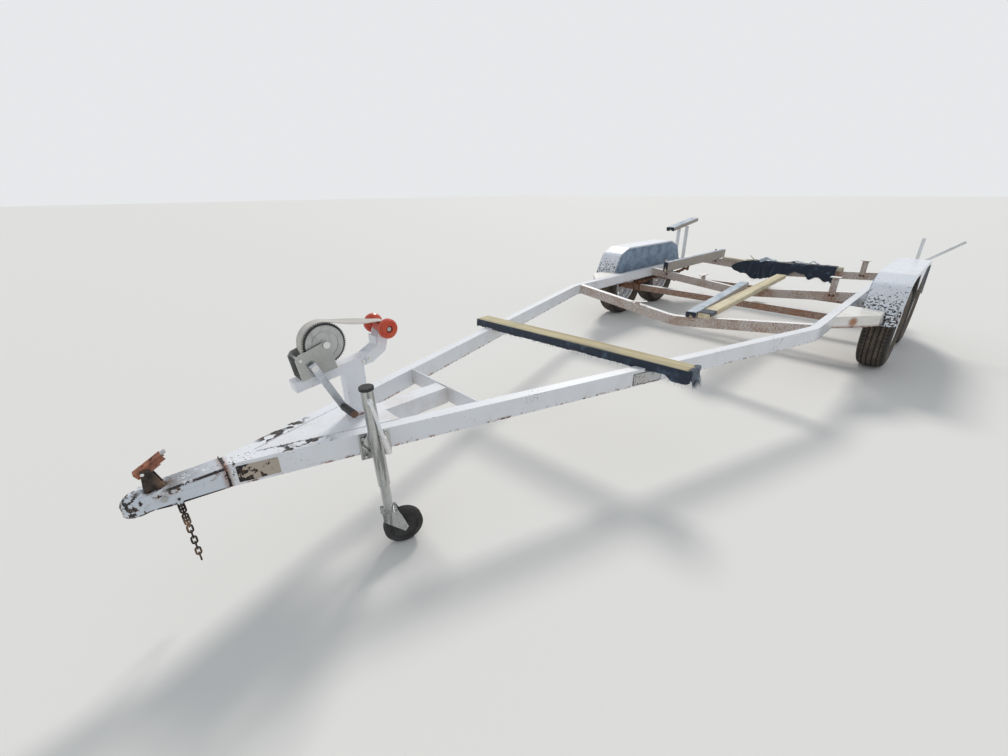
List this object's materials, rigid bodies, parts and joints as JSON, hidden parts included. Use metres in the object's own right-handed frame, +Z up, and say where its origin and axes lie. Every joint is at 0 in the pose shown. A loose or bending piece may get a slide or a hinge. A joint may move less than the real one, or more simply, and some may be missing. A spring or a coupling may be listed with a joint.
{
  "type": "boat trailer",
  "caption": "Tandem axle steel boat trailer on its jack, with winch stand, fenders, loose bunk boards and guide posts.",
  "frame": {"origin": "centre of the hitch ball in the coupler, 0.46 m above the ground it stands on", "axes": "+Z up, +Y rearward along the trailer, +X to the trailer's left side"},
  "size_m": [2.7004, 6.277, 0.9553],
  "materials": {
    "frame_paint": "glossy white paint, chipped to dark primer and rust",
    "member_paint": "white paint under dust and rust",
    "rusty_steel": "rusted bare steel",
    "galvanised": "dull zinc plating",
    "winch_zinc": "zinc plated pressed steel",
    "tyre_rubber": "dusty black rubber",
    "caster_rubber": "black rubber",
    "wheel_paint": "white painted pressed steel",
    "roller_red": "red moulded polyurethane",
    "webbing": "woven grey white webbing",
    "carpet_blue": "worn navy bunk carpet",
    "carpet_dark": "dark navy bunk carpet",
    "bare_wood": "weathered softwood",
    "post_plastic": "white plastic sleeve"
  },
  "bodies": {
    "chassis": {"rail_left": "frame_paint", "rail_right": "frame_paint", "tongue_plate": "frame_paint", "tongue_tube": "frame_paint", "tongue_cross_plate": "frame_paint", "crossmember_front": "member_paint", "crossmember_middle": "member_paint", "crossmember_rear": "member_paint", "coupler": "frame_paint", "latch_lever": "rusty_steel", "safety_chain": "rusty_steel", "axles": "rusty_steel", "leaf_springs": "rusty_steel", "spring_hangers": "rusty_steel", "equalisers": "rusty_steel", "fender_left": "frame_paint", "fender_right": "frame_paint", "fender_steps_left": "frame_paint", "fender_steps_right": "frame_paint", "jack_bracket": "galvanised", "winch_stand": "frame_paint", "roller_bracket": "frame_paint", "winch_frame": "winch_zinc", "winch_strap": "webbing", "bunk_brackets": "member_paint", "side_bunk_right": "carpet_blue", "center_bunk_carpeted": "carpet_blue", "center_bunk_bare": "bare_wood", "front_board": "bare_wood", "front_board_carpet": "carpet_dark", "fender_carpet_left": "carpet_blue", "fender_carpet_right": "carpet_blue", "broken_boards": "bare_wood", "carpet_heap": "carpet_dark", "guide_posts_left": "frame_paint", "guide_posts_right": "post_plastic", "guide_board_right": "carpet_blue"},
    "jack": {"jack_tube": "galvanised"},
    "jack_leg": {"jack_leg": "galvanised"},
    "caster_fork": {"caster_fork": "galvanised"},
    "caster_wheel": {"caster_wheel": "caster_rubber"},
    "winch_drum": {"winch_drum": "winch_zinc"},
    "winch_crank": {"winch_crank": "winch_zinc"},
    "bow_roller": {"bow_roller": "roller_red"},
    "wheel_left_front": {"wheel_left_front": "wheel_paint", "tyre_left_front": "tyre_rubber"},
    "wheel_left_rear": {"wheel_left_rear": "wheel_paint", "tyre_left_rear": "tyre_rubber"},
    "wheel_right_front": {"wheel_right_front": "wheel_paint", "tyre_right_front": "tyre_rubber"},
    "wheel_right_rear": {"wheel_right_rear": "wheel_paint", "tyre_right_rear": "tyre_rubber"}
  },
  "joints": [
    {"name": "wheel_left_front_spin", "type": "hinge", "parent": "chassis", "child": "wheel_left_front", "pos_m": [1.172, 4.428, -0.145], "axis": [1, 0, 0], "continuous": true},
    {"name": "wheel_left_rear_spin", "type": "hinge", "parent": "chassis", "child": "wheel_left_rear", "pos_m": [1.172, 5.208, -0.145], "axis": [1, 0, 0], "continuous": true},
    {"name": "wheel_right_front_spin", "type": "hinge", "parent": "chassis", "child": "wheel_right_front", "pos_m": [-1.172, 4.428, -0.145], "axis": [1, 0, 0], "continuous": true},
    {"name": "wheel_right_rear_spin", "type": "hinge", "parent": "chassis", "child": "wheel_right_rear", "pos_m": [-1.172, 5.208, -0.145], "axis": [1, 0, 0], "continuous": true},
    {"name": "jack_swivel", "type": "hinge", "parent": "chassis", "child": "jack", "pos_m": [0.16881, 0.68, 0], "axis": [0.9558, -0.294, 0], "range_deg": [0, 88]},
    {"name": "jack_crank_slide", "type": "slide", "parent": "jack", "child": "jack_leg", "axis": [0.0103, 0.0334, -0.9994], "range_m": [-0.11, 0.12]},
    {"name": "caster_swivel", "type": "hinge", "parent": "jack_leg", "child": "caster_fork", "pos_m": [0.2148, 0.67986, -0.38354], "axis": [-0.0103, -0.0334, 0.9994], "continuous": true},
    {"name": "caster_spin", "type": "hinge", "parent": "caster_fork", "child": "caster_wheel", "pos_m": [0.22773, 0.72189, -0.382], "axis": [0.9558, -0.294, 0], "continuous": true},
    {"name": "drum_spin", "type": "hinge", "parent": "chassis", "child": "winch_drum", "pos_m": [0, 0.61411, 0.35397], "axis": [1, 0, 0], "continuous": true},
    {"name": "crank_spin", "type": "hinge", "parent": "chassis", "child": "winch_crank", "pos_m": [0, 0.5567, 0.28675], "axis": [1, 0, 0], "continuous": true},
    {"name": "roller_spin", "type": "hinge", "parent": "chassis", "child": "bow_roller", "pos_m": [0, 0.846, 0.366], "axis": [1, 0, 0], "continuous": true}
  ],
  "couplings": [
    {"joint": "crank_spin", "follows": "drum_spin", "ratio": -5.8}
  ]
}
